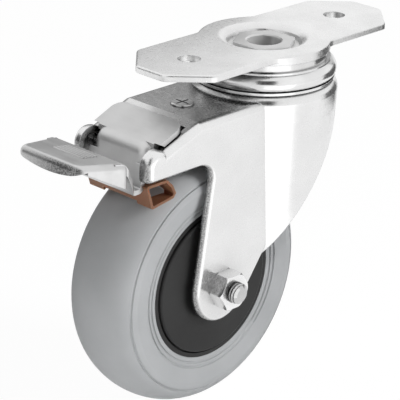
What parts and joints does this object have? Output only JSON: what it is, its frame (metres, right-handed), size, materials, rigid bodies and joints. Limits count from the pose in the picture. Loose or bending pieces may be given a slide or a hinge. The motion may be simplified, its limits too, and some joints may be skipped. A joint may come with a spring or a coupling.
{
  "type": "swivel castor",
  "caption": "Swivel castor with a rubber-tyred wheel in a pressed fork, a foot brake lever over the tread and a slim plate with a hollow king pin",
  "frame": {"origin": "on the swivel axis, in the plane of the plate's top face", "axes": "Z is the swivel axis, up through the plate; X runs along the plate's two holes and the wheel trails towards -X; Y is along the axle at rest"},
  "size_m": [0.1688, 0.0582, 0.134],
  "materials": {
    "zinc": "bright zinc plated",
    "fastener_zinc": "bright zinc plated",
    "spring_steel": "oiled",
    "bearing_steel": "polished",
    "tyre": "matt grey rubber",
    "black_plastic": "satin",
    "cage_plastic": "satin",
    "brown_plastic": "satin"
  },
  "bodies": {
    "mount": {"top_plate": "zinc", "king_pin": "zinc", "upper_race": "zinc", "dust_cover": "zinc", "lower_race": "zinc"},
    "fork": {"fork": "zinc", "crown_race": "zinc", "upper_balls": "bearing_steel", "lower_balls": "bearing_steel", "leaf_spring": "spring_steel", "spring_rivet": "zinc", "axle_bolt": "fastener_zinc", "axle_nut": "fastener_zinc", "axle_tube": "zinc"},
    "wheel": {"tyre": "tyre", "wheel_centre": "black_plastic", "thread_guard_near": "black_plastic", "thread_guard_far": "black_plastic", "roller_cage": "cage_plastic", "rollers": "bearing_steel"},
    "brake": {"brake_lever": "zinc", "pivot_studs": "zinc", "brake_shoe": "brown_plastic"}
  },
  "joints": [
    {"name": "swivel", "type": "hinge", "parent": "mount", "child": "fork", "pos_m": [0, 0, 0], "axis": [0, 0, 1], "continuous": true},
    {"name": "wheel_spin", "type": "hinge", "parent": "fork", "child": "wheel", "pos_m": [-0.04, 0, -0.084], "axis": [0, 1, 0], "continuous": true},
    {"name": "brake_press", "type": "hinge", "parent": "fork", "child": "brake", "pos_m": [-0.067, 0, -0.0292], "axis": [0, -1, 0], "range_deg": [0, 12]}
  ]
}
